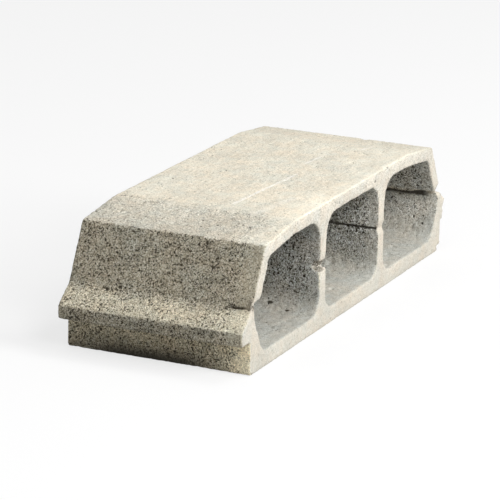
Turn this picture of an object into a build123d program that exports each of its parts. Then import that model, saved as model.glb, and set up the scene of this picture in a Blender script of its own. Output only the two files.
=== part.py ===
from build123d import *
import math
import os

# Hollow floor infill block: one pressing of lean concrete with three cells through it.
# It stands between two floor beams on the nibs at its ends. Millimetres, +X along the length,
# +Y along the cells from the pressed front face to the back face, +Z up, soffit at z = 0.

# Overall size
length = 530.0  # over the tips of the two bearing nibs
depth = 200.0  # along the cells
height = 131.0  # soffit to crown

# Outer section of one end, from the soffit up; the other end mirrors it
leg_height = 34.0  # soffit to the bearing face under the nib
nib_reach = 20.5  # how far the nib stands out from the leg
nib_face = 14.0  # upright outer face of the nib
ledge_run = 22.5  # sloping ledge above the nib, along the block
ledge_rise = 18.0  # the same ledge, upwards
side_lean = 28.5  # how far the side face leans in between ledge and shoulder
shoulder_drop = 8.0  # crown down to the shoulder
ramp_run = 69.0  # ramp from the shoulder to the flat of the crown, along the block

# Rounding of the outer section
leg_edge_radius = 3.0
nib_root_radius = 3.0
nib_edge_radius = 2.5
ledge_root_radius = 6.0
shoulder_radius = 5.0
crown_radius = 120.0

# Walls
web = 15.5  # each of the two upright webs
roof = 14.0  # slab over the cells
floor = 17.5  # slab under the cells
middle_cell = 135.0  # clear width of the middle cell
side_wall = 15.0  # leaning side wall, square to its face
step_wall = 4.5  # the same wall at its thinnest, where an outer cell steps out
chamber_wall = 9.0  # from the leg's outer plane in to the widest point of an outer cell
chamber_height = 54.0  # soffit to where the outer cell stops widening
heel = 27.5  # solid heel of the leg at the level of the cell floor

# Cores: each cell is drafted so that its core draws out of the front face
core_draft = 1.2  # inset of each cell wall at the back face
bar_height = 68.0  # soffit to the middle of the bar that carries the cores across the front face
bar_thickness = 6.0  # the same bar, from top to bottom; the outer cells step out under its top
bar_mark_height = 14.0  # width of the mark that the bar leaves in webs and side walls
bar_mark_depth = 2.5  # how far the mark reaches into the front face

# Rounding of the cells
web_roof_radius = 24.0
cell_floor_radius = 18.0
side_roof_radius = 12.0
heel_radius = 16.0
chamber_radius = 12.0
step_root_radius = 2.0
step_edge_radius = 4.0

leg_x = length / 2 - nib_reach
ledge_x = length / 2 - ledge_run
ledge_z = leg_height + nib_face + ledge_rise
shoulder_x = ledge_x - side_lean
shoulder_z = height - shoulder_drop
crown_x = shoulder_x - ramp_run
web_x = middle_cell / 2 + web
cell_roof_z = height - roof


def meet(a, b, c, d):
    """Where the line through a and b crosses the line through c and d."""
    ab = b - a
    cd = d - c
    share = (c - a).cross(cd).Z / ab.cross(cd).Z
    return a + ab * share


def outline(corners):
    """Closed face in the front view from (x, z, radius) corners."""
    points = [(x, z) for x, z, _ in corners]
    radii = [radius for _, _, radius in corners]
    return make_face(FilletPolyline(*points, radius=radii, close=True))


def outer_section():
    """Outside of the block in the front view."""
    right = [
        (leg_x, 0, leg_edge_radius),
        (leg_x, leg_height, nib_root_radius),
        (length / 2, leg_height, nib_edge_radius),
        (length / 2, leg_height + nib_face, nib_edge_radius),
        (ledge_x, ledge_z, ledge_root_radius),
        (shoulder_x, shoulder_z, shoulder_radius),
        (crown_x, height, crown_radius),
    ]
    left = [(-x, z, radius) for x, z, radius in reversed(right)]
    return outline(right + left)


def middle_cell_section():
    """Middle cell: upright walls, level roof and floor."""
    half = middle_cell / 2
    return outline([
        (-half, floor, cell_floor_radius),
        (half, floor, cell_floor_radius),
        (half, cell_roof_z, web_roof_radius),
        (-half, cell_roof_z, web_roof_radius),
    ])


def outer_cell_section():
    """Cell beside the right side wall: it follows the ramp and the leaning wall, and under the top
    of the core bar it steps out into a wider chamber behind the nib."""
    ledge = Vector(ledge_x, ledge_z)
    shoulder = Vector(shoulder_x, shoulder_z)
    crown = Vector(crown_x, height)
    inwards = (shoulder - ledge).rotate(Axis.Z, 90).normalized()

    def behind_face(wall, a, b):
        """Where the line through a and b crosses the inside of a side wall of this thickness."""
        return meet(ledge + inwards * wall, shoulder + inwards * wall, a, b)

    step = Vector(0, bar_height + bar_thickness / 2)
    step_root = behind_face(step_wall, step, step + Vector(1, 0))
    step_edge = behind_face(side_wall, step, step + Vector(1, 0))
    drop = Vector(0, -roof)
    roof_corner = behind_face(side_wall, crown + drop, shoulder + drop)
    return outline([
        (web_x, floor, cell_floor_radius),
        (leg_x - heel, floor, heel_radius),
        (leg_x - chamber_wall, chamber_height, chamber_radius),
        (step_root.X, step_root.Y, step_root_radius),
        (step_edge.X, step_edge.Y, step_edge_radius),
        (roof_corner.X, roof_corner.Y, side_roof_radius),
        (crown_x, cell_roof_z, crown_radius),
        (web_x, cell_roof_z, web_roof_radius),
    ])


def through_block(section, draft=0.0):
    """Solid over the whole depth from a front-view section, narrowing by draft to the back."""
    front = Plane(origin=(0, -depth / 2, 0), x_dir=(1, 0, 0), z_dir=(0, -1, 0))
    taper = math.degrees(math.atan2(draft, depth))
    return extrude(front * section, amount=depth, dir=(0, 1, 0), taper=taper)


def core_bar_mark():
    """V across the front edge of every web and side wall, left by the core bar. It is drawn to
    twice its depth and width, with half of its depth standing clear in front of the block."""
    front = -depth / 2
    v = make_face(Polyline(
        (front - bar_mark_depth, bar_height - bar_mark_height),
        (front + bar_mark_depth, bar_height),
        (front - bar_mark_depth, bar_height + bar_mark_height),
        close=True,
    ))
    return extrude(Plane.YZ * v, amount=length, both=True)


def block():
    solid = through_block(outer_section())
    solid -= through_block(middle_cell_section(), core_draft)
    outer_cell = through_block(outer_cell_section(), core_draft)
    solid -= outer_cell
    solid -= mirror(outer_cell, about=Plane.YZ)
    solid -= core_bar_mark()
    return solid


os.makedirs("parts", exist_ok=True)
export_step(block(), "parts/hollow_floor_block.step")
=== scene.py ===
import math
import bmesh
import bpy
import numpy as np
from bpy.props import FloatProperty, FloatVectorProperty, IntProperty, PointerProperty
from bpy.types import NodeSocket, Operator, Panel, PropertyGroup
from mathutils import Euler, Matrix, Vector, noise
from mathutils.bvhtree import BVHTree


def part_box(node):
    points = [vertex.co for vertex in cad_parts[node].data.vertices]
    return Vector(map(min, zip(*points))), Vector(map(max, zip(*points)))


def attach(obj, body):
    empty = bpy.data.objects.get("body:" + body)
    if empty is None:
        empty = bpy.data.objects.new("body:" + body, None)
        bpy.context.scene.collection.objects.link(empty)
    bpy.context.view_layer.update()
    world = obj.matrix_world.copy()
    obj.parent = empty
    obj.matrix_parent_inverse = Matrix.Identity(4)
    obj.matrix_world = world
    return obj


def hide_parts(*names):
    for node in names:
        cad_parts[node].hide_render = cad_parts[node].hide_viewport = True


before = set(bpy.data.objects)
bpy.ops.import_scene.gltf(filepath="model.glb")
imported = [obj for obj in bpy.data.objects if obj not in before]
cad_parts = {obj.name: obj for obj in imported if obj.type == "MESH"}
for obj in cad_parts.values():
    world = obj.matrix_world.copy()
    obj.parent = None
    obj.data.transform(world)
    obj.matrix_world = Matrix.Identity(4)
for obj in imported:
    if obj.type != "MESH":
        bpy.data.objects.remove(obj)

bl_info = {
    "name": "Hollow Floor Block",
    "version": (1, 0, 0),
    "blender": (4, 5, 0),
    "location": "View3D > Sidebar > Floor Block",
    "description": "Weathers a pressed concrete floor block and lights it on a plain stage",
    "category": "Add Mesh",
}

BLOCK = "hollow_floor_block"
LOW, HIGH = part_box(BLOCK)
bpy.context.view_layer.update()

# Heights on the form, in metres, as the part has them
NIB_FOOT = 0.034
NIB_TOP = 0.048
LEDGE_ROOT = 0.066
BAR_HEIGHT = 0.068
CROWN_EDGE = 0.145  # where a ramp meets the flat of the crown, along the block

# Marks of the pressing, in metres
STEP_HEIGHT = 0.071  # where the outer cells step out
STEP_SHADE_FOOT = 0.0612  # how far down the painted shade under that step reaches
STEP_WALL = 0.2340  # how far out the cell's wall stands under that step
OUTER_CELL = 0.195  # how far out the walls with that step start
CELL_SEAM = 0.062  # how far the bar's seam runs back along a web
LEDGE_CRACK = 0.027  # how far it runs back along a ledge
SEAM_SLOT = 0.0016  # half the width of the seam's slot
SEAM_SHADE_HALF_WIDTH = 0.0017  # half the width of the painted shade in that slot
PLAIN_WEB = -0.083  # web face on which no seam shows; past it the cells' walls get paler painted light
END_RIM = 0.017  # rubbed rim of an end behind the front face
CELL_RIM = 0.013  # the same rim of a cell's walls

SEED_STEP = (0.37, 0.19, 0.53)  # how far each seed moves the random patterns, in metres


class BlockFinish(PropertyGroup):
    """Sizes and colours of the block's worn concrete skin."""

    spacing: FloatProperty(
        name="Skin Spacing", description="Distance between points of the skin before thinning",
        default=0.0013, min=0.001, max=0.01, unit="LENGTH", precision=4,
    )
    triangles: IntProperty(
        name="Triangles", description="Triangles that the finished skin may have",
        default=194000, min=1000, max=199000,
    )
    seed: IntProperty(name="Seed", description="Moves every random pattern", default=7, min=0)
    wave_depth: FloatProperty(
        name="Wave Depth", description="Gentle unevenness of every face",
        default=0.0005, min=0.0, max=0.003, unit="LENGTH", precision=4,
    )
    grain_size: FloatProperty(
        name="Grain Size", description="Size of the aggregate grains in the open faces",
        default=0.0036, min=0.001, max=0.02, unit="LENGTH", precision=4,
    )
    grain_depth: FloatProperty(
        name="Grain Depth", description="How far the grains of the open faces stand apart",
        default=0.00035, min=0.0, max=0.004, unit="LENGTH", precision=5,
    )
    pit_size: FloatProperty(
        name="Pit Size", description="Spacing of the pits between the grains",
        default=0.0068, min=0.001, max=0.05, unit="LENGTH", precision=4,
    )
    pit_depth: FloatProperty(
        name="Pit Depth", description="Depth of the pits in the open faces",
        default=0.0013, min=0.0, max=0.01, unit="LENGTH", precision=4,
    )
    wear_width: FloatProperty(
        name="Edge Wear Width", description="How far in from an edge the wear reaches",
        default=0.0024, min=0.0005, max=0.02, unit="LENGTH", precision=4,
    )
    wear_depth: FloatProperty(
        name="Edge Wear Depth", description="How deep the worn edges crumble",
        default=0.0006, min=0.0, max=0.01, unit="LENGTH", precision=4,
    )
    seam_depth: FloatProperty(
        name="Seam Depth", description="Depth of the slot that the core bar left",
        default=0.0026, min=0.0, max=0.01, unit="LENGTH", precision=4,
    )
    crown_colour: FloatVectorProperty(
        name="Crown Colour", description="Smooth cement skin of the crown", subtype="COLOR",
        size=3, default=(0.735, 0.695, 0.60), min=0.0, max=1.0,
    )
    press_colour: FloatVectorProperty(
        name="Pressed Face Colour", description="Front and back faces", subtype="COLOR",
        size=3, default=(0.59, 0.56, 0.50), min=0.0, max=1.0,
    )
    open_colour: FloatVectorProperty(
        name="Open Face Colour", description="Coarse faces at the two ends", subtype="COLOR",
        size=3, default=(0.42, 0.388, 0.306), min=0.0, max=1.0,
    )
    cell_colour: FloatVectorProperty(
        name="Cell Colour", description="Walls of the cells", subtype="COLOR",
        size=3, default=(0.47, 0.465, 0.43), min=0.0, max=1.0,
    )


class StageLook(PropertyGroup):
    """Floor, lamps and camera."""

    floor_size: FloatProperty(
        name="Floor Size", description="Side of the square floor", default=14.0, unit="LENGTH",
    )
    front_power: FloatProperty(
        name="Front Power", description="Large soft lamp low in front", default=66.0, unit="POWER",
    )
    left_power: FloatProperty(
        name="Left Power", description="Soft lamp at the front left", default=27.0, unit="POWER",
    )
    right_power: FloatProperty(
        name="Right Power", description="Soft lamp high at the front right", default=17.0,
        unit="POWER",
    )
    fill: FloatProperty(
        name="Fill", description="Even light from all round", default=0.30, min=0.0, max=2.0,
    )
    overhead: FloatProperty(
        name="Overhead", description="Further light that grows towards the top of the sky",
        default=0.30, min=0.0, max=2.0,
    )


# Building blocks for node trees

def feed(tree, source, socket):
    """Gives a socket a link from another socket, or a plain value."""
    if isinstance(source, NodeSocket):
        tree.links.new(source, socket)
    else:
        socket.default_value = source


def node(tree, kind, inputs=None, **settings):
    """New node with its settings made and its inputs fed, by name or number."""
    made = tree.nodes.new(kind)
    for key, value in settings.items():
        setattr(made, key, value)
    for key, source in (inputs or {}).items():
        feed(tree, source, made.inputs[key])
    return made


def calc(tree, operation, *sources, clamp=False):
    """Output of a math node."""
    inputs = dict(enumerate(sources))
    return node(tree, "ShaderNodeMath", inputs, operation=operation, use_clamp=clamp).outputs[0]


def product(tree, *factors):
    """Product of two or more values."""
    total = factors[0]
    for factor in factors[1:]:
        total = calc(tree, "MULTIPLY", total, factor)
    return total


def remap(tree, value, low, high, to_low=0.0, to_high=1.0, smooth=True):
    """Output of a map range node that clamps."""
    made = node(tree, "ShaderNodeMapRange", {
        "Value": value, "From Min": low, "From Max": high, "To Min": to_low, "To Max": to_high,
    }, interpolation_type="SMOOTHSTEP" if smooth else "LINEAR", clamp=True)
    return made.outputs[0]


def weighted(tree, values, weights):
    """Sum of values, each times its weight."""
    total = 0.0
    for value, weight in zip(values, weights):
        total = calc(tree, "MULTIPLY_ADD", value, weight, total)
    return total


def vector_math(tree, operation, *sources):
    """Vector output of a vector math node."""
    made = node(tree, "ShaderNodeVectorMath", dict(enumerate(sources)), operation=operation)
    return made.outputs["Vector"]


def scaled(tree, vector, factor):
    """Vector times a number."""
    made = node(tree, "ShaderNodeVectorMath", {0: vector, "Scale": factor}, operation="SCALE")
    return made.outputs["Vector"]


def axes(tree, vector):
    """The three parts of a vector."""
    return node(tree, "ShaderNodeSeparateXYZ", {0: vector}).outputs


def scale_for(tree, size):
    """Scale at which a pattern has features of about this size."""
    return calc(tree, "DIVIDE", 1.0, size) if isinstance(size, NodeSocket) else 1.0 / size


def noise_node(tree, vector, size, detail=2.0, roughness=0.5):
    """Noise with features of about this size; its value is output 0, its colour output 1."""
    return node(tree, "ShaderNodeTexNoise", {
        "Vector": vector, "Scale": scale_for(tree, size), "Detail": detail, "Roughness": roughness,
    })


def noise_value(tree, vector, size, detail=2.0, roughness=0.5):
    """Soft random value from 0 to 1 with features of about this size."""
    return noise_node(tree, vector, size, detail, roughness).outputs[0]


def wander(tree, vector, size, reach):
    """Soft random value of up to this much either way, with features of about this size."""
    return calc(tree, "MULTIPLY_ADD", noise_value(tree, vector, size), 2 * reach, -reach)


def bent(tree, vector, size, reach):
    """Vector pushed about by noise of this size, by up to about half this reach."""
    random = noise_node(tree, vector, size, 1.0).outputs[1]
    push = vector_math(tree, "SUBTRACT", random, (0.5, 0.5, 0.5))
    return vector_math(tree, "ADD", vector, scaled(tree, push, reach))


def cells(tree, vector, size):
    """Voronoi node with cells of about this size."""
    return node(tree, "ShaderNodeTexVoronoi", {"Vector": vector, "Scale": scale_for(tree, size)})


def seeded(tree, place, seed):
    """Place moved by the seed, for the random patterns."""
    return vector_math(tree, "ADD", place, scaled(tree, SEED_STEP, seed))


def new_tree(name, kind, inputs, outputs):
    """Node tree with named sockets, as (name, socket type, default) and (name, socket type)."""
    tree = bpy.data.node_groups.new(name, kind)
    for label, socket_type, default in inputs:
        socket = tree.interface.new_socket(label, in_out="INPUT", socket_type=socket_type)
        if default is not None:
            socket.default_value = default
    for label, socket_type in outputs:
        tree.interface.new_socket(label, in_out="OUTPUT", socket_type=socket_type)
    return tree, tree.nodes.new("NodeGroupInput"), tree.nodes.new("NodeGroupOutput")


# Objects and meshes

def new_object(name, data):
    """Object in the scene, at the origin."""
    made = bpy.data.objects.new(name, data)
    bpy.context.scene.collection.objects.link(made)
    return made


def mesh_from(work, name):
    """Mesh made from a bmesh, which is freed."""
    mesh = bpy.data.meshes.new(name)
    work.to_mesh(mesh)
    work.free()
    return mesh


def baked_mesh(made):
    """Plain mesh of an object with its modifiers worked in; the modifiers are removed."""
    graph = bpy.context.evaluated_depsgraph_get()
    mesh = bpy.data.meshes.new_from_object(made.evaluated_get(graph), depsgraph=graph)
    made.modifiers.clear()
    made.data = mesh
    return mesh


def remove(*objects):
    """Takes helper objects out of the scene."""
    for made in objects:
        bpy.data.objects.remove(made, do_unlink=True)


def set_on_faces(mesh, name, values):
    """Stores a number for every face of a mesh."""
    layer = mesh.attributes.new(name, "FLOAT", "FACE")
    layer.data.foreach_set("value", np.asarray(values, np.float32))


def keep_within(mesh, low, high):
    """Moves the few points that thinning pushed out of a box back onto it."""
    places = np.empty(len(mesh.vertices) * 3, np.float32)
    mesh.vertices.foreach_get("co", places)
    inside = places.reshape(-1, 3).clip(low, high)
    mesh.vertices.foreach_set("co", inside.ravel())
    mesh.update()


# The clean form that the skin is made from

ZONES = ("crown", "pressed", "open", "cell")
SQUARE_ON = 0.9  # part of a normal along an axis above which a face counts as square to it


def zone_of(form, face):
    """Which kind of concrete face this is. A cell's wall looks at another wall of its cell, and
    the soffit was trowelled like the crown."""
    if abs(face.normal.y) > SQUARE_ON:
        return "pressed"
    middle = face.calc_center_median()
    just_outside = middle + face.normal * 1e-5
    if form.ray_cast(just_outside, face.normal)[0] is not None:
        return "cell"
    level = abs(face.normal.z) > SQUARE_ON
    on_nib = NIB_FOOT - 0.004 < middle.z < NIB_TOP
    return "crown" if level and not on_nib else "open"


def clean_form():
    """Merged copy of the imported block, each face marked with its zone."""
    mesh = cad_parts[BLOCK].data.copy()
    work = bmesh.new()
    work.from_mesh(mesh)
    bmesh.ops.remove_doubles(work, verts=work.verts, dist=1e-6)
    work.normal_update()
    form = BVHTree.FromBMesh(work)
    zones = [zone_of(form, face) for face in work.faces]
    work.to_mesh(mesh)
    work.free()
    for zone in ZONES:
        set_on_faces(mesh, zone, [float(name == zone) for name in zones])
    return new_object("clean_form", mesh)


def arrises(form, least_turn=math.radians(25)):
    """The sharp edges of the form, as loose edges."""
    work = bmesh.new()
    work.from_mesh(form.data)
    soft = [edge for edge in work.edges if edge.calc_face_angle(0.0) < least_turn]
    bmesh.ops.delete(work, geom=work.faces[:], context="FACES_KEEP_BOUNDARY")
    bmesh.ops.delete(work, geom=[edge for edge in soft if edge.is_valid], context="EDGES")
    return new_object("arrises", mesh_from(work, "arrises"))


# Broken places, each a rough lump cut out of the form: place, radii and turn in degrees
BREAKS = {
    "right_nib_corner": ((0.2690, -0.1045, 0.0420), (0.0190, 0.0215, 0.0190), (0, 20, 12)),
    "right_foot_corner": ((0.2470, -0.1030, -0.0010), (0.0110, 0.0110, 0.0080), (0, 25, 0)),
    "first_web": ((-0.0800, -0.1035, 0.0668), (0.0175, 0.0138, 0.0066), (0, 0, 0)),
    "left_wall": ((-0.2262, -0.1022, 0.0655), (0.0104, 0.0088, 0.0076), (0, 0, 0)),
    "right_wall": ((0.2400, -0.1020, 0.0725), (0.0115, 0.0090, 0.0062), (0, -20, 0)),
    "first_cell_pit": ((-0.0877, -0.0477, 0.0241), (0.0018, 0.0040, 0.0060), (0, -45, 0)),
    "first_cell_small_pit": ((-0.0925, -0.0689, 0.0199), (0.0014, 0.0030, 0.0045), (0, -29, 0)),
    "second_web_dent": ((0.0607, -0.1000, 0.1047), (0.0036, 0.0024, 0.0022), (0, 0, 0)),
    "first_roof_dent": ((-0.1480, -0.1000, 0.1240), (0.0034, 0.0018, 0.0018), (0, 0, 0)),
}

# Burrs squeezed out beside the core bar, joined to the form in the same way
BURRS = {
    "left_wall_fin": ((-0.2394, -0.0976, 0.0672), (0.0025, 0.0028, 0.0090), (0, 0, 0)),
    "right_step_lip": ((0.2290, -0.0380, 0.0705), (0.0036, 0.0580, 0.0048), (0, 0, 0)),
    "right_wall_burr": ((0.2335, -0.0920, 0.0680), (0.0034, 0.0050, 0.0028), (0, 10, 0)),
}


# Unevenness of the lumps, in radii: how often it changes and how far it reaches
LUMP_ROUGHNESS = ((1.6, 0.32), (4.5, 0.14))
LUMP_STEP = (3.7, 1.3, 7.1)  # from one lump's random pattern to the next, in radii


def lump(place, radii, turn, number):
    """Rough closed lump."""
    work = bmesh.new()
    bmesh.ops.create_icosphere(work, subdivisions=4, radius=1.0)
    rotation = Euler([math.radians(angle) for angle in turn]).to_matrix()
    offset = Vector([part * number for part in LUMP_STEP])
    for vert in work.verts:
        rough = sum(noise.noise(vert.co * often + offset) * reach for often, reach in LUMP_ROUGHNESS)
        vert.co = rotation @ (Vector(radii) * (vert.co * (1 + rough))) + Vector(place)
    return work


def lumps(name, places):
    """One object holding all the lumps of a table."""
    whole = bmesh.new()
    for number, (place, radii, turn) in enumerate(places.values()):
        mesh = mesh_from(lump(place, radii, turn, number + 1), name)
        whole.from_mesh(mesh)
        bpy.data.meshes.remove(mesh)
    return new_object(name, mesh_from(whole, name))


# Marks that both the skin's relief and its colour follow

PATCH_SPACING = 0.045  # of waves, coarse patches and clouds, in metres
PIT_RADII = (0.10, 0.27)  # least and greatest, as parts of the pits' spacing
PIT_FLOOR_SHADE = 0.9  # how dark the painted shade on the floor of a broken-out pit is, from 0 to 1


def fade_in(tree, depth, reach):
    """1 near the front face, falling to 0 about this far behind it."""
    return remap(tree, calc(tree, "DIVIDE", depth, reach), 0.75, 1.1, 1.0, 0.0)


def seam_mask(tree, place, cell, rough, half_width):
    """From 0 to 1 along the slot that the core bar left behind the front face."""
    x, y, z = axes(tree, place)
    depth = calc(tree, "SUBTRACT", y, LOW[1])
    above = calc(tree, "ADD", calc(tree, "SUBTRACT", z, BAR_HEIGHT), wander(tree, place, 0.018, 0.0010))
    gap = calc(tree, "ABSOLUTE", above)
    web_gap = calc(tree, "ABSOLUTE", calc(tree, "SUBTRACT", x, PLAIN_WEB))
    inner = remap(tree, calc(tree, "ABSOLUTE", x), OUTER_CELL - 0.01, OUTER_CELL, 1.0, 0.0)
    on_web = product(
        tree, remap(tree, gap, half_width * 0.35, half_width, 1.0, 0.0),
        remap(tree, web_gap, 0.002, 0.006), fade_in(tree, depth, CELL_SEAM), inner, cell)
    fray = calc(tree, "MULTIPLY_ADD", noise_value(tree, place, 0.004), 0.0030, -0.0005)
    crack_gap = calc(tree, "ABSOLUTE", calc(tree, "ADD", above, fray))
    narrow_front = remap(tree, depth, 0.003, 0.013, 0.35, 1.0)
    on_ledge = product(
        tree, remap(tree, crack_gap, half_width * 0.3, half_width * 0.9, 1.0, 0.0),
        fade_in(tree, depth, LEDGE_CRACK), narrow_front, rough)
    return calc(tree, "ADD", on_web, on_ledge, clamp=True)


def under_step(tree, place, cell):
    """From 0 to 1 in the shade under the step of each outer cell."""
    x, y, z = axes(tree, place)
    height = calc(tree, "ADD", z, wander(tree, place, 0.005, 0.0008))
    behind_front = remap(tree, y, LOW[1] + 0.006, LOW[1] + 0.020)
    on_wall = remap(tree, calc(tree, "ABSOLUTE", x), STEP_WALL - 0.0035, STEP_WALL - 0.0015)
    above_foot = remap(tree, height, STEP_SHADE_FOOT - 0.0012, STEP_SHADE_FOOT + 0.0016)
    below_step = remap(tree, height, STEP_HEIGHT + 0.0004, STEP_HEIGHT + 0.0014, 1.0, 0.0)
    return product(tree, cell, behind_front, on_wall, above_foot, below_step)


def deep_pits(tree, place):
    """How dark each break is that is a pit, so deep that hardly any light comes out. Pits are
    only turned about the cells' own direction."""
    found = 0.0
    for name, (middle, radii, turn) in BREAKS.items():
        if name.endswith("pit"):
            straight = node(tree, "ShaderNodeVectorRotate", {
                "Vector": place, "Center": middle, "Angle": -math.radians(turn[1]),
            }, rotation_type="Y_AXIS").outputs[0]
            away = vector_math(tree, "SUBTRACT", straight, middle)
            away = vector_math(tree, "DIVIDE", away, radii)
            reach = node(tree, "ShaderNodeVectorMath", {0: away}, operation="LENGTH")
            dark = remap(tree, reach.outputs["Value"], 0.6, 1.1, PIT_FLOOR_SHADE, 0.0)
            found = calc(tree, "MAXIMUM", found, dark)
    return found


def spots(tree, vector, size, share, radii):
    """Round spots at about this spacing, in this share of the places, with radii between these
    parts of the spacing: a mask from 0 to 1, and a random tone for every place."""
    least, most = radii
    found = cells(tree, vector, size)
    chance, width, tone = axes(tree, found.outputs["Color"])
    radius = calc(tree, "MULTIPLY_ADD", width, most - least, least)
    near = calc(tree, "DIVIDE", found.outputs["Distance"], radius)
    present = remap(tree, calc(tree, "SUBTRACT", share, chance), 0.0, 0.02, smooth=False)
    return product(tree, remap(tree, near, 0.70, 1.0, 1.0, 0.0), present), tone


def pit_mask(tree, vector, size, share):
    """Pits scattered at about this spacing, in this share of the places: 1 inside, 0 outside."""
    return spots(tree, bent(tree, vector, 0.004, 0.0035), size, share, PIT_RADII)[0]


def pit_share(tree, place, coarse):
    """Share of the places that have a pit: they gather in the coarse patches."""
    gathered = remap(tree, noise_value(tree, place, PATCH_SPACING), 0.35, 0.65, 0.15, 0.80)
    return product(tree, gathered, coarse)


# The skin's relief

RELIEF_INPUTS = (
    ("Geometry", "NodeSocketGeometry", None),
    ("Form", "NodeSocketObject", None),
    ("Arrises", "NodeSocketObject", None),
    ("Low Corner", "NodeSocketVector", None),
    ("High Corner", "NodeSocketVector", None),
    ("Seed", "NodeSocketInt", 0),
    ("Wave Depth", "NodeSocketFloat", 0.0005),
    ("Grain Size", "NodeSocketFloat", 0.004),
    ("Grain Depth", "NodeSocketFloat", 0.001),
    ("Pit Size", "NodeSocketFloat", 0.006),
    ("Pit Depth", "NodeSocketFloat", 0.002),
    ("Wear Width", "NodeSocketFloat", 0.004),
    ("Wear Depth", "NodeSocketFloat", 0.002),
    ("Seam Depth", "NodeSocketFloat", 0.002),
    ("Material", "NodeSocketMaterial", None),
)


def object_shape(tree, source):
    """Geometry of an object input, where the object lies."""
    return node(tree, "GeometryNodeObjectInfo", {"Object": source}).outputs["Geometry"]


def sampled(tree, shape, name):
    """A face value of the clean form, read at the nearest point of its surface."""
    value = node(tree, "GeometryNodeInputNamedAttribute", {"Name": name}, data_type="FLOAT")
    nearest = node(tree, "GeometryNodeSampleNearestSurface", {
        "Mesh": shape, "Value": value.outputs["Attribute"],
    }, data_type="FLOAT")
    return nearest.outputs["Value"]


# How open the grain is, from 0 to 1, and the share of it left on rims, ledges and in chambers
LEFT_RAMP_GRAIN, CROWN_GRAIN = 0.50, 0.17
PRESS_LOW_GRAIN, PRESS_TOP_GRAIN = 0.04, 0.22
CELL_FLOOR_GRAIN, CELL_TOP_GRAIN = 0.22, 1.15
CROWN_RIM_SHARE = 0.4
END_RIM_SHARE = 0.52
CELL_RIM_SHARE = 0.60
LEDGE_SHARE = 0.83
CHAMBER_SHARE = 0.6


def past_rim(tree, depth, rim, on_rim):
    """One share on a rim of this width behind the front face, rising to 1 past it."""
    return remap(tree, depth, rim * 0.6, rim * 1.4, on_rim, 1.0)


def in_chamber(tree, x, outside, inside):
    """One value in the cells, changing to another by the outer walls of the lower chambers."""
    across = calc(tree, "ABSOLUTE", x)
    return remap(tree, across, STEP_WALL - 0.015, STEP_WALL - 0.005, outside, inside)


def coarseness(tree, place, zones):
    """How open the grain is, from 0 to 1: open on the ends and the cells' walls, a little less on
    the ledges and in the lower chambers, and closed on the crown, the pressed faces, the cells'
    floors and a rim behind the front face."""
    x, y, z = axes(tree, place)
    drift = wander(tree, place, 0.03, 0.008)
    depth = calc(tree, "MULTIPLY_ADD", drift, 0.3, calc(tree, "SUBTRACT", y, LOW[1]))
    on_nib = remap(tree, z, NIB_TOP - 0.001, NIB_TOP + 0.001, 1.0, LEDGE_SHARE)
    on_side = remap(tree, z, LEDGE_ROOT - 0.006, LEDGE_ROOT + 0.001, LEDGE_SHARE, 1.0)
    off_ledge = calc(tree, "MAXIMUM", on_nib, on_side)
    on_end = product(tree, past_rim(tree, depth, END_RIM, END_RIM_SHARE), off_ledge)
    height = calc(tree, "MULTIPLY_ADD", drift, 0.6, z)
    high = remap(tree, height, 0.020, 0.050, CELL_FLOOR_GRAIN, CELL_TOP_GRAIN)
    calm = in_chamber(tree, x, 1.0, CHAMBER_SHARE)
    on_cell = product(tree, past_rim(tree, depth, CELL_RIM, CELL_RIM_SHARE), high, calm)
    on_press = remap(tree, z, 0.085, 0.115, PRESS_LOW_GRAIN, PRESS_TOP_GRAIN)
    along = calc(tree, "ADD", x, drift)
    off_ramp = remap(
        tree, along, -CROWN_EDGE - 0.005, -CROWN_EDGE + 0.020, LEFT_RAMP_GRAIN, CROWN_GRAIN)
    on_crown = product(tree, off_ramp, remap(tree, depth, 0.012, 0.034, CROWN_RIM_SHARE, 1.0))
    return weighted(tree, zones, (on_crown, on_press, on_end, on_cell))


# Depth of the crumbled edges, as parts of the edge wear's depth
CRUMBLE = 0.7
BITE = 1.6
MORE_ON_CELLS = 0.8  # further share round the cells


def gap_to(tree, shape, target):
    """How far each point lies from a shape's nearest face or edge."""
    return node(tree, "GeometryNodeProximity", {0: shape}, target_element=target).outputs["Distance"]


def edge_wear(tree, vector, edges, width, cell):
    """How deep the edges have crumbled, with deeper bites here and there."""
    near = remap(tree, calc(tree, "DIVIDE", gap_to(tree, edges, "EDGES"), width), 0.0, 1.0, 1.0, 0.0)
    crumble = remap(tree, noise_value(tree, vector, 0.0045, 3.0, 0.6), 0.42, 0.70, 0.0, CRUMBLE)
    bite = remap(tree, noise_value(tree, vector, 0.014), 0.60, 0.78, 0.0, BITE)
    ragged = calc(tree, "MULTIPLY_ADD", cell, MORE_ON_CELLS, 1.0)
    return product(tree, near, calc(tree, "ADD", crumble, bite), ragged)


def keep(tree, shape, name, value, data_type="FLOAT"):
    """Stores a value of every point under a name that the material reads."""
    return node(tree, "GeometryNodeStoreNamedAttribute", {
        "Geometry": shape, "Name": name, "Value": value,
    }, data_type=data_type, domain="POINT").outputs["Geometry"]


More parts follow.
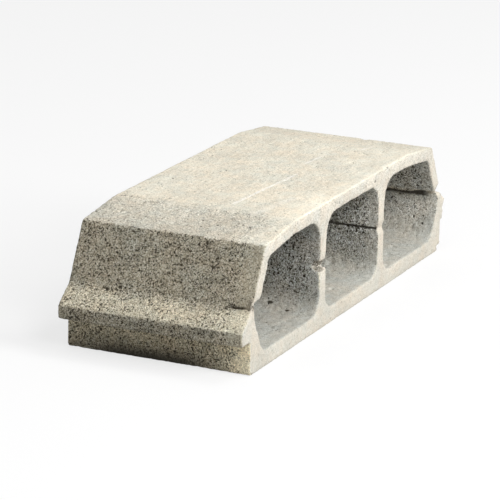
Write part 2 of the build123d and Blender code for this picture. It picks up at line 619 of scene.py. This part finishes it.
def relief_tree():
    """Sinks waves, grains, pits, worn edges and the core bar's seam into a dense skin."""
    tree, start, end = new_tree(
        "concrete_relief", "GeometryNodeTree", RELIEF_INPUTS, (("Geometry", "NodeSocketGeometry"),),
    )
    given = start.outputs
    place = node(tree, "GeometryNodeInputPosition").outputs[0]
    normal = node(tree, "GeometryNodeInputNormal").outputs[0]
    moved = seeded(tree, place, given["Seed"])
    form = object_shape(tree, given["Form"])
    zones = [sampled(tree, form, zone) for zone in ZONES]
    _, _, rough, cell = zones
    broken = remap(tree, gap_to(tree, form, "FACES"), 0.0008, 0.0020)
    coarse = calc(tree, "MAXIMUM", coarseness(tree, place, zones), broken)

    wave = calc(tree, "SUBTRACT", noise_value(tree, moved, PATCH_SPACING), 0.5)
    grains = cells(tree, bent(tree, moved, 0.004, 0.003), given["Grain Size"])
    grain = remap(tree, grains.outputs["Distance"], 0.15, 0.85, -0.5, 0.5)
    pit = pit_mask(tree, moved, given["Pit Size"], pit_share(tree, moved, coarse))
    edges = object_shape(tree, given["Arrises"])
    worn = edge_wear(tree, moved, edges, given["Wear Width"], cell)
    seam = seam_mask(tree, place, cell, rough, SEAM_SLOT)

    depth = weighted(tree, (wave, product(tree, grain, coarse), pit, worn, seam), (
        given["Wave Depth"], given["Grain Depth"], given["Pit Depth"], given["Wear Depth"],
        given["Seam Depth"]))
    sunk = vector_math(tree, "ADD", place, scaled(tree, normal, calc(tree, "MULTIPLY", depth, -1.0)))
    sunk = vector_math(tree, "MAXIMUM", sunk, given["Low Corner"])
    sunk = vector_math(tree, "MINIMUM", sunk, given["High Corner"])

    shape = given["Geometry"]
    for name, value in zip((*ZONES, "coarse", "broken"), (*zones, coarse, broken)):
        shape = keep(tree, shape, name, value)
    shape = keep(tree, shape, "skin_place", place, "FLOAT_VECTOR")
    shape = node(tree, "GeometryNodeSetPosition", {"Geometry": shape, "Position": sunk}).outputs[0]
    shape = node(tree, "GeometryNodeRealizeInstances", {0: shape}).outputs[0]
    shape = node(tree, "GeometryNodeSetMaterial", {
        "Geometry": shape, "Material": given["Material"],
    }).outputs[0]
    feed(tree, shape, end.inputs[0])
    return tree


def set_inputs(modifier, values):
    """Sets a Geometry Nodes modifier's inputs by the names of their sockets."""
    for item in modifier.node_group.interface.items_tree:
        if item.item_type == "SOCKET" and item.in_out == "INPUT" and item.name in values:
            modifier[item.identifier] = values[item.name]


# Concrete

def mix(tree, factor, first, second, blend="MIX"):
    """Colour between two colours."""
    made = node(tree, "ShaderNodeMix", {0: factor, 6: first, 7: second}, data_type="RGBA",
                blend_type=blend, clamp_factor=True)
    return made.outputs[2]


def rgba(colour):
    """Colour with full alpha, as a socket takes it."""
    return (*colour, 1.0)


def attribute(tree, name, output="Fac"):
    """Value that the skin stores under this name."""
    return node(tree, "ShaderNodeAttribute", attribute_name=name).outputs[output]


def levels(tree, value, stops):
    """Value that runs straight from level to level between (position, level) stops."""
    total = stops[0][1]
    for (low, before), (high, after) in zip(stops, stops[1:]):
        rise = remap(tree, value, low, high, 0.0, after - before, smooth=False)
        total = calc(tree, "ADD", total, rise)
    return total


def group(tree, shared, inputs):
    """A shared effect placed in a material."""
    made = node(tree, "ShaderNodeGroup", node_tree=shared)
    for key, source in inputs.items():
        feed(tree, source, made.inputs[key])
    return made.outputs


# Grades of aggregate from fine to coarse: size in metres, share of open pores on an open face,
# and further share everywhere
GRADES = ((0.0006, 0.12, 0.0), (0.0010, 0.20, 0.01), (0.0019, 0.08, 0.003))
GRADE_TONES = (0.4, 0.6)  # weight of the two finer grades in the tone
PORE_RADII = (0.35, 0.75)  # least and greatest, as parts of the grade's size
ROUND_GRAIN = 0.0017  # size of the round grains that have gaps between them, in metres


def aggregate_group():
    """Grains of sand: a tone from 0 to 1 for each grain, and open pores among them as a mask."""
    tree, start, end = new_tree("aggregate", "ShaderNodeTree", (
        ("Vector", "NodeSocketVector", None), ("Size", "NodeSocketFloat", 0.001),
        ("Pore Share", "NodeSocketFloat", 0.1),
    ), (("Tone", "NodeSocketFloat"), ("Pore", "NodeSocketFloat")))
    place, size, share = start.outputs[:3]
    reach = calc(tree, "MULTIPLY", size, 0.9)
    uneven = bent(tree, place, calc(tree, "MULTIPLY", size, 1.6), reach)
    pores, tone = spots(tree, uneven, size, share, PORE_RADII)
    feed(tree, tone, end.inputs[0])
    feed(tree, pores, end.inputs[1])
    return tree


def grain_gaps(tree, place, open_share):
    """Gaps left between round grains, from 0 to 1: wider on open faces."""
    found = cells(tree, bent(tree, place, 0.003, 0.0015), ROUND_GRAIN)
    gap = calc(tree, "MULTIPLY_ADD", open_share, 0.14, found.outputs["Distance"])
    return remap(tree, gap, 0.82, 0.92)


def clouding_group():
    """Slow change over a face, from 0 to 1 about a half: one value for tone and one for hue."""
    tree, start, end = new_tree("clouding", "ShaderNodeTree", (
        ("Vector", "NodeSocketVector", None), ("Size", "NodeSocketFloat", 0.05),
    ), (("Tone", "NodeSocketFloat"), ("Hue", "NodeSocketFloat")))
    place, size = start.outputs[:2]
    clouds = noise_node(tree, place, size, 3.0, 0.55)
    hue = axes(tree, clouds.outputs[1])[1]
    feed(tree, remap(tree, clouds.outputs[0], 0.3, 0.7), end.inputs[0])
    feed(tree, remap(tree, hue, 0.3, 0.7), end.inputs[1])
    return tree


def streak_mask(tree, place, start, end, half_width):
    """Soft line on the crown from one (x, y) place to another."""
    run = Vector(end) - Vector(start)
    x, y, _ = axes(tree, place)
    x, y = calc(tree, "SUBTRACT", x, start[0]), calc(tree, "SUBTRACT", y, start[1])
    along = weighted(tree, (x, y), run.normalized())
    across = weighted(tree, (x, y), (-run.normalized().y, run.normalized().x))
    line = remap(tree, calc(tree, "ABSOLUTE", across), half_width * 0.3, half_width, 1.0, 0.0)
    from_end = calc(tree, "MINIMUM", along, calc(tree, "SUBTRACT", run.length, along))
    return product(tree, line, remap(tree, from_end, 0.0, STREAK_FADE))


STREAK_FADE = 0.012  # length over which a scuff fades at each end, in metres

# Pale scuffs on the crown: start and end as (x, y) in metres, half width, strength
SCUFFS = (
    ((-0.124, -0.019), (0.022, -0.029), 0.0027, 1.0),
    ((0.050, -0.018), (0.100, -0.022), 0.0027, 0.7),
    ((0.128, -0.047), (0.172, -0.051), 0.0026, 0.6),
    ((-0.150, -0.052), (-0.060, -0.066), 0.0060, 0.3),
)

# Painted light and shade on the end faces by height, further painted light at their front end,
# further painted light of the lower chambers by height, and tone of the crown along the block
END_LIGHT_TONES = (
    (0.000, 0.67), (0.006, 0.77), (0.014, 1.24), (0.022, 1.46), (NIB_FOOT - 0.001, 1.54),
    (NIB_FOOT + 0.001, 0.91), (NIB_TOP - 0.001, 0.89), (NIB_TOP + 0.001, 1.38),
    (LEDGE_ROOT - 0.006, 1.44), (LEDGE_ROOT + 0.002, 1.0),
)
END_FRONT_LIGHT_TONES = (
    (0.000, 1.6), (0.016, 0.7), (NIB_FOOT - 0.001, 0.7), (NIB_FOOT + 0.001, 0.20),
    (LEDGE_ROOT, 0.12), (LEDGE_ROOT + 0.006, 0.05),
)
CHAMBER_LIGHT_TONES = ((0.024, -0.06), (0.040, -0.04), (0.056, 0.20), (STEP_HEIGHT, 0.20))
CROWN_TONES = (
    (-0.215, 0.80), (-CROWN_EDGE - 0.008, 0.86), (-CROWN_EDGE + 0.012, 1.0), (CROWN_EDGE, 1.0),
    (CROWN_EDGE + 0.02, 0.95), (0.215, 0.93),
)

# Further tones, as parts of a face's brightness
FRONT_REACH = 0.055  # how far behind the front face all is paler, in metres; on the ends this is painted light from the front
SHADED_FOOT_HEIGHT = 0.030  # how high the painted shade at the foot reaches, in metres
SHADED_FOOT_MIDDLE = 0.012  # where along the cells it is darkest, in metres
# how much the painted shade darkens the foot's middle, as a part of its brightness
FOOT_SHADE_TONE = -0.62
CROWN_FRONT_TONE = 0.14
TROWEL_TONE = 0.05
PRESS_LOW_TONE, PRESS_TOP_TONE = 0.94, 1.06
CELL_TONE = 1.03
# painted light: the walls past the first cell are paler, more so higher up
LIT_CELL_LOW_TONE, LIT_CELL_TOP_TONE = 0.08, 0.21


def end_light_and_shade(tree, y, z, ahead, creep):
    """Painted light and shade of the end faces: dark foot and nib, pale ledge, paler towards the front.
    """
    foot = remap(tree, z, 0.0, SHADED_FOOT_HEIGHT, 1.0, 0.0)
    off_middle = calc(tree, "ABSOLUTE", calc(tree, "SUBTRACT", y, SHADED_FOOT_MIDDLE))
    middle = remap(tree, off_middle, 0.03, 0.085, FOOT_SHADE_TONE, 0.0)
    above_nib = remap(tree, z, NIB_TOP + 0.003, NIB_TOP + 0.008)
    height = calc(tree, "MULTIPLY_ADD", creep, above_nib, z)
    tone = calc(tree, "MULTIPLY_ADD", foot, middle, levels(tree, height, END_LIGHT_TONES))
    return calc(tree, "MULTIPLY_ADD", ahead, levels(tree, z, END_FRONT_LIGHT_TONES), tone)


def crown_tones(tree, place, x, ahead):
    """Brightness of the crown: greyer ramps, paler front left, and faint strokes of the trowel."""
    paler_left = remap(tree, x, -CROWN_EDGE, 0.05, CROWN_FRONT_TONE, 0.0)
    tone = calc(tree, "MULTIPLY_ADD", ahead, paler_left, levels(tree, x, CROWN_TONES))
    strokes = noise_value(tree, vector_math(tree, "MULTIPLY", place, (0.12, 1.0, 1.0)), 0.0035)
    return calc(tree, "ADD", tone, remap(tree, strokes, 0.3, 0.7, -TROWEL_TONE, TROWEL_TONE))


def cell_light_tones(tree, x, z):
    """Painted light on the cells' walls: paler past the first cell and high in the lower chambers."""
    later_cells = remap(tree, x, PLAIN_WEB + 0.002, PLAIN_WEB + 0.014)
    lift = remap(tree, z, 0.045, 0.080, LIT_CELL_LOW_TONE, LIT_CELL_TOP_TONE)
    tone = calc(tree, "MULTIPLY_ADD", later_cells, lift, CELL_TONE)
    chamber = in_chamber(tree, x, 0.0, 1.0)
    return calc(tree, "MULTIPLY_ADD", chamber, levels(tree, z, CHAMBER_LIGHT_TONES), tone)


def face_tones(tree, place, zones):
    """Brightness of each face by where it lies; on the ends and in the cells it is painted light and
    shade.
    """
    x, y, z = axes(tree, place)
    ahead = remap(tree, calc(tree, "SUBTRACT", y, LOW[1]), 0.0, FRONT_REACH, 1.0, 0.0)
    tones = (
        crown_tones(tree, place, x, ahead),
        remap(tree, z, 0.02, HIGH[2], PRESS_LOW_TONE, PRESS_TOP_TONE, smooth=False),
        end_light_and_shade(tree, y, z, ahead, wander(tree, place, 0.016, 0.007)),
        cell_light_tones(tree, x, z),
    )
    shares = [calc(tree, "SUBTRACT", tone, 1.0) for tone in tones]
    return calc(tree, "ADD", weighted(tree, shares, zones), 1.0)


# Colours and tints beside the face colours that a user may change
BROKEN_COLOUR = (0.37, 0.34, 0.285)
SCUFF_COLOUR = (0.92, 0.89, 0.82)
# Colour of the painted shade in pores, gaps, pits, seams and under the steps
HOLLOW_SHADE_COLOUR = (0.040, 0.032, 0.020)
LEG_TINT = (1.03, 1.0, 0.94)
WARM_TINT, COOL_TINT = (1.04, 1.0, 0.95), (0.965, 1.01, 1.03)
DARK_GRAIN_TINT, PALE_GRAIN_TINT = (1.0, 0.95, 0.80), (1.0, 1.02, 1.12)

# How dark the painted shade is in the pits, the seams and under the steps, from 0 to 1
PIT_SHADE = 0.92
SEAM_SHADE = 0.88
STEP_SHADE = 0.93

PATCH_SIZE = 0.011  # of the small patches of hue, in metres
BUMP_DEPTH = 0.0006  # of pores and gaps, in metres


def plain_colour(tree, finish, place, zones, broken):
    """Colour of each kind of face and of the breaks. The legs are a little warmer."""
    crown, pressed, rough, cell = zones
    colour = mix(tree, cell, rgba(finish.open_colour), rgba(finish.cell_colour))
    colour = mix(tree, pressed, colour, rgba(finish.press_colour))
    colour = mix(tree, crown, colour, rgba(finish.crown_colour))
    colour = mix(tree, broken, colour, rgba(BROKEN_COLOUR))
    on_leg = remap(tree, axes(tree, place)[2], NIB_FOOT - 0.003, NIB_FOOT + 0.001, 1.0, 0.0)
    return mix(tree, product(tree, rough, on_leg), colour, rgba(LEG_TINT), "MULTIPLY")


def clouded(tree, place, colour):
    """Colour with its slow changes of hue, and the slow change of tone that goes with them."""
    clouding = clouding_group()
    clouds = group(tree, clouding, {"Vector": place, "Size": PATCH_SPACING})
    patches = group(tree, clouding, {"Vector": place, "Size": PATCH_SIZE})
    hue = weighted(tree, (clouds["Hue"], patches["Hue"]), (0.5, 0.5))
    tint = mix(tree, hue, rgba(WARM_TINT), rgba(COOL_TINT))
    tone = remap(tree, clouds["Tone"], 0.0, 1.0, 0.94, 1.05, smooth=False)
    return mix(tree, 1.0, colour, tint, "MULTIPLY"), tone


def sand_and_pores(tree, place, coarse):
    """Tone of the grains from 0 to 1, and masks of the pores and of the gaps among them."""
    aggregate = aggregate_group()
    gathered = remap(tree, noise_value(tree, place, 0.014), 0.36, 0.64, 0.75, 1.25)
    open_share = product(tree, coarse, gathered)
    grades = []
    for size, on_open, everywhere in GRADES:
        share = calc(tree, "MULTIPLY_ADD", open_share, on_open, everywhere)
        grades.append(group(tree, aggregate, {"Vector": place, "Size": size, "Pore Share": share}))
    tone = weighted(tree, [grade["Tone"] for grade in grades[:2]], GRADE_TONES)
    pore = 0.0
    for grade in grades:
        pore = calc(tree, "MAXIMUM", pore, grade["Pore"])
    # how dark the painted shade in the gaps is; the gaps also sink the bump by it
    gap_depth = calc(tree, "MULTIPLY_ADD", coarse, 0.55, 0.38, clamp=True)
    return tone, pore, product(tree, grain_gaps(tree, place, open_share), gap_depth)


def lit_grains(tree, colour, tone, coarse, bright):
    """Colour times brightness with its painted light and shade, each grain paler and cooler or darker
    and warmer.
    """
    contrast = calc(tree, "MULTIPLY_ADD", coarse, 1.2, 0.35)
    grain_tone = calc(tree, "MULTIPLY_ADD", calc(tree, "SUBTRACT", tone, 0.5), contrast, 1.0)
    bright = calc(tree, "MAXIMUM", product(tree, grain_tone, bright), 0.05)
    cool = remap(tree, grain_tone, 0.25, 1.75, smooth=False)
    tint = mix(tree, cool, rgba(DARK_GRAIN_TINT), rgba(PALE_GRAIN_TINT))
    return mix(tree, 1.0, scaled(tree, colour, bright), tint, "MULTIPLY")


def scuffed(tree, place, crown, colour):
    """Colour with the pale scuffs of the crown over it."""
    scuff = 0.0
    for start, end, half_width, strength in SCUFFS:
        streak = streak_mask(tree, place, start, end, half_width)
        scuff = calc(tree, "MULTIPLY_ADD", streak, strength, scuff)
    broken_up = remap(tree, noise_value(tree, place, 0.006), 0.35, 0.6, 0.35, 1.0)
    return mix(tree, product(tree, scuff, broken_up, crown), colour, rgba(SCUFF_COLOUR))


def hollow_shade(tree, finish, place, zones, coarse, pore, gaps):
    """Painted shade of each hollow, from 0 to 1: pores, gaps, pits, seams, and under a step."""
    _, _, rough, cell = zones
    moved = seeded(tree, place, finish.seed)
    pit = pit_mask(tree, moved, finish.pit_size, pit_share(tree, moved, coarse))
    pore_shade = calc(tree, "MULTIPLY_ADD", coarse, 0.5, 0.45, clamp=True)
    dark = calc(tree, "MAXIMUM", gaps, deep_pits(tree, place))
    for mark, shade in (
        (pore, pore_shade), (pit, PIT_SHADE), (under_step(tree, place, cell), STEP_SHADE),
        (seam_mask(tree, place, cell, rough, SEAM_SHADE_HALF_WIDTH), SEAM_SHADE),
    ):
        dark = calc(tree, "MAXIMUM", dark, calc(tree, "MULTIPLY", mark, shade))
    return dark


def concrete(finish):
    """Pressed lean concrete: smooth cement skin where the mould rubbed it, open grain elsewhere."""
    material = bpy.data.materials.new("lean_concrete")
    material.use_nodes = True
    tree = material.node_tree
    tree.nodes.clear()
    place = attribute(tree, "skin_place", "Vector")
    zones = [attribute(tree, zone) for zone in ZONES]
    coarse, broken = attribute(tree, "coarse"), attribute(tree, "broken")

    colour = plain_colour(tree, finish, place, zones, broken)
    colour, cloud_tone = clouded(tree, place, colour)
    tone, pore, gaps = sand_and_pores(tree, place, coarse)
    bright = product(tree, cloud_tone, face_tones(tree, place, zones))
    colour = lit_grains(tree, colour, tone, coarse, bright)
    colour = scuffed(tree, place, zones[0], colour)
    dark = hollow_shade(tree, finish, place, zones, coarse, pore, gaps)
    # paints the shade of the hollows
    colour = mix(tree, dark, colour, rgba(HOLLOW_SHADE_COLOUR))

    grain_height = calc(tree, "MULTIPLY", calc(tree, "MULTIPLY_ADD", coarse, 0.4, 0.1), tone)
    height = weighted(tree, (grain_height, pore, gaps), (1.0, -1.0, -1.0))
    bump = node(tree, "ShaderNodeBump", {"Height": height, "Strength": 1.0, "Distance": BUMP_DEPTH})
    shader = node(tree, "ShaderNodeBsdfPrincipled", {
        "Base Color": colour, "Roughness": 0.92, "Specular IOR Level": 0.3, "Normal": bump.outputs[0],
    })
    out = node(tree, "ShaderNodeOutputMaterial")
    tree.links.new(shader.outputs[0], out.inputs[0])
    return material


# The finished piece

def dense_skin(form, spacing):
    """Closed skin over the form, with the breaks cut out of it and the burrs joined on."""
    skin = new_object("concrete_block", form.data.copy())
    breaks, burrs = lumps("breaks", BREAKS), lumps("burrs", BURRS)
    for name, operation, cutter in (("breaks", "DIFFERENCE", breaks), ("burrs", "UNION", burrs)):
        change = skin.modifiers.new(name, "BOOLEAN")
        change.operation, change.solver, change.object = operation, "EXACT", cutter
    remesh = skin.modifiers.new("skin", "REMESH")
    remesh.mode, remesh.voxel_size, remesh.adaptivity = "VOXEL", spacing, 0.0
    baked_mesh(skin)
    remove(breaks, burrs)
    return skin


def thin_out(skin, triangles):
    """Thins a mesh of four-sided faces to about this many triangles. A face that kept four
    corners could fold into two triangles that lie back to back, so none does."""
    thin = skin.modifiers.new("thin", "DECIMATE")
    thin.ratio = min(1.0, triangles / (2 * len(skin.data.polygons)))
    thin.use_collapse_triangulate = True
    mesh = baked_mesh(skin)
    keep_within(mesh, LOW, HIGH)
    mesh.shade_smooth()


class FLOORBLOCK_OT_block(Operator):
    """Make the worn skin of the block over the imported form"""

    bl_idname = "floorblock.block"
    bl_label = "Concrete Block"

    def execute(self, context):
        finish = context.scene.block_finish
        form = clean_form()
        edges = arrises(form)
        skin = dense_skin(form, finish.spacing)
        relief = skin.modifiers.new("relief", "NODES")
        relief.node_group = relief_tree()
        set_inputs(relief, {
            "Form": form, "Arrises": edges, "Low Corner": LOW, "High Corner": HIGH,
            "Seed": finish.seed, "Wave Depth": finish.wave_depth, "Grain Size": finish.grain_size,
            "Grain Depth": finish.grain_depth, "Pit Size": finish.pit_size,
            "Pit Depth": finish.pit_depth, "Wear Width": finish.wear_width,
            "Wear Depth": finish.wear_depth, "Seam Depth": finish.seam_depth,
            "Material": concrete(finish),
        })
        baked_mesh(skin)
        thin_out(skin, finish.triangles)
        remove(form, edges)
        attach(skin, "root")
        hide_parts(BLOCK)
        return {"FINISHED"}


# Stage: camera solved from the photograph, position in metres and angles in degrees
CAMERA_PLACE = (-2.76376, -1.27001, 0.95096)
CAMERA_YAW, CAMERA_PITCH, CAMERA_ROLL = 24.96, 16.52, 0.92
SENSOR = 36.0
FOCAL_PIXELS = 3048.0
IMAGE_PIXELS = 500.0

# Lamps, in metres
LAMP_AIM = Vector((0.0, 0.0, 0.06))
LAMP_DISTANCE = 3.0

# The same lamps: degrees to the right of the front face, degrees above the floor, diameter
LAMPS = {"front_lamp": (0, 26, 1.4), "left_lamp": (-40, 40, 1.0), "right_lamp": (35, 60, 1.0)}

# Floor, from 0 to 1: its tone as light falls on the block from it, its tone as it is seen, and
# the share of plain white in what is seen
FLOOR_TONE = 0.45
FLOOR_SEEN_TONE = 0.85
FLOOR_WHITE = 0.7
WHITE = (1.0, 1.0, 1.0, 1.0)


def camera_matrix():
    """Place and turn of the camera."""
    yaw, pitch, roll = [math.radians(angle) for angle in (CAMERA_YAW, CAMERA_PITCH, CAMERA_ROLL)]
    ahead = Vector((math.cos(yaw) * math.cos(pitch), math.sin(yaw) * math.cos(pitch), -math.sin(pitch)))
    level = Vector((math.sin(yaw), -math.cos(yaw), 0.0))
    upright = level.cross(ahead)
    right = level * math.cos(roll) + upright * math.sin(roll)
    up = upright * math.cos(roll) - level * math.sin(roll)
    turn = Matrix((right, up, -ahead)).transposed().to_4x4()
    return Matrix.Translation(Vector(CAMERA_PLACE)) @ turn


def add_camera():
    """Camera at the photograph's viewing angle."""
    data = bpy.data.cameras.new("camera")
    data.sensor_width = SENSOR
    data.lens = FOCAL_PIXELS / IMAGE_PIXELS * SENSOR
    data.clip_end = 100.0
    made = new_object("camera", data)
    made.matrix_world = camera_matrix()
    bpy.context.scene.camera = made


def add_lamp(name, power):
    """Round lamp that looks at the block."""
    azimuth, elevation, size = LAMPS[name]
    data = bpy.data.lights.new(name, "AREA")
    data.shape, data.size, data.energy = "DISK", size, power
    turn, tilt = math.radians(azimuth), math.radians(elevation)
    way = Vector((math.sin(turn) * math.cos(tilt), -math.cos(turn) * math.cos(tilt), math.sin(tilt)))
    made = new_object(name, data)
    made.location = LAMP_AIM + way * LAMP_DISTANCE
    made.rotation_euler = (-way).to_track_quat("-Z", "Y").to_euler()


def backdrop_rays(tree):
    """1 for rays that look at the backdrop straight, in a mirror or through glass."""
    rays = node(tree, "ShaderNodeLightPath").outputs
    seen = calc(tree, "MAXIMUM", rays["Is Camera Ray"], rays["Is Glossy Ray"])
    return calc(tree, "MAXIMUM", seen, rays["Is Transmission Ray"])


def floor_material():
    """Pale floor that keeps the block's shadow and throws back less light than it shows."""
    material = bpy.data.materials.new("pale_floor")
    material.use_nodes = True
    tree = material.node_tree
    tree.nodes.clear()
    seen = backdrop_rays(tree)
    tone = calc(tree, "MULTIPLY_ADD", seen, FLOOR_SEEN_TONE - FLOOR_TONE, FLOOR_TONE)
    matt = node(tree, "ShaderNodeBsdfDiffuse", {
        "Color": node(tree, "ShaderNodeCombineColor", {0: tone, 1: tone, 2: tone}).outputs[0],
    })
    white = node(tree, "ShaderNodeEmission", {"Color": WHITE, "Strength": 1.0})
    blended = node(tree, "ShaderNodeMixShader", {
        0: calc(tree, "MULTIPLY", seen, FLOOR_WHITE), 1: matt.outputs[0], 2: white.outputs[0],
    })
    out = node(tree, "ShaderNodeOutputMaterial")
    tree.links.new(blended.outputs[0], out.inputs[0])
    return material


def add_floor(side):
    """Square floor under the block."""
    work = bmesh.new()
    bmesh.ops.create_grid(work, x_segments=8, y_segments=8, size=side / 2)
    mesh = mesh_from(work, "floor")
    mesh.materials.append(floor_material())
    new_object("floor", mesh)


def add_world(fill, overhead):
    """White backdrop that lights the block evenly, and more from above."""
    world = bpy.data.worlds.new("studio")
    bpy.context.scene.world = world
    world.use_nodes = True
    tree = world.node_tree
    tree.nodes.clear()
    upwards = axes(tree, node(tree, "ShaderNodeTexCoord").outputs["Generated"])[2]
    light = calc(tree, "MULTIPLY_ADD", remap(tree, upwards, 0.0, 1.0, smooth=False), overhead, fill)
    seen = backdrop_rays(tree)
    strength = calc(tree, "MULTIPLY_ADD", seen, calc(tree, "SUBTRACT", 1.0, light), light)
    shader = node(tree, "ShaderNodeBackground", {"Color": WHITE, "Strength": strength})
    out = node(tree, "ShaderNodeOutputWorld")
    tree.links.new(shader.outputs[0], out.inputs[0])


class FLOORBLOCK_OT_stage(Operator):
    """Add the floor, the lamps and the camera"""

    bl_idname = "floorblock.stage"
    bl_label = "Stage"

    def execute(self, context):
        look = context.scene.stage_look
        add_floor(look.floor_size)
        add_lamp("front_lamp", look.front_power)
        add_lamp("left_lamp", look.left_power)
        add_lamp("right_lamp", look.right_power)
        add_world(look.fill, look.overhead)
        add_camera()
        context.scene.view_settings.view_transform = "Standard"
        return {"FINISHED"}


class FLOORBLOCK_PT_panel(Panel):
    """Sizes, colours and steps of the floor block"""

    bl_label = "Floor Block"
    bl_space_type = "VIEW_3D"
    bl_region_type = "UI"
    bl_category = "Floor Block"

    def draw(self, context):
        for group_of_values in (context.scene.block_finish, context.scene.stage_look):
            for name in group_of_values.__annotations__:
                self.layout.prop(group_of_values, name)
        for step in STEPS:
            self.layout.operator(step.bl_idname)


STEPS = (FLOORBLOCK_OT_block, FLOORBLOCK_OT_stage)
CLASSES = (BlockFinish, StageLook, *STEPS, FLOORBLOCK_PT_panel)


def register():
    for made in CLASSES:
        bpy.utils.register_class(made)
    bpy.types.Scene.block_finish = PointerProperty(type=BlockFinish)
    bpy.types.Scene.stage_look = PointerProperty(type=StageLook)


def unregister():
    del bpy.types.Scene.stage_look
    del bpy.types.Scene.block_finish
    for made in reversed(CLASSES):
        bpy.utils.unregister_class(made)


def main():
    register()
    bpy.ops.floorblock.block()
    bpy.ops.floorblock.stage()


if __name__ == "__main__":
    main()
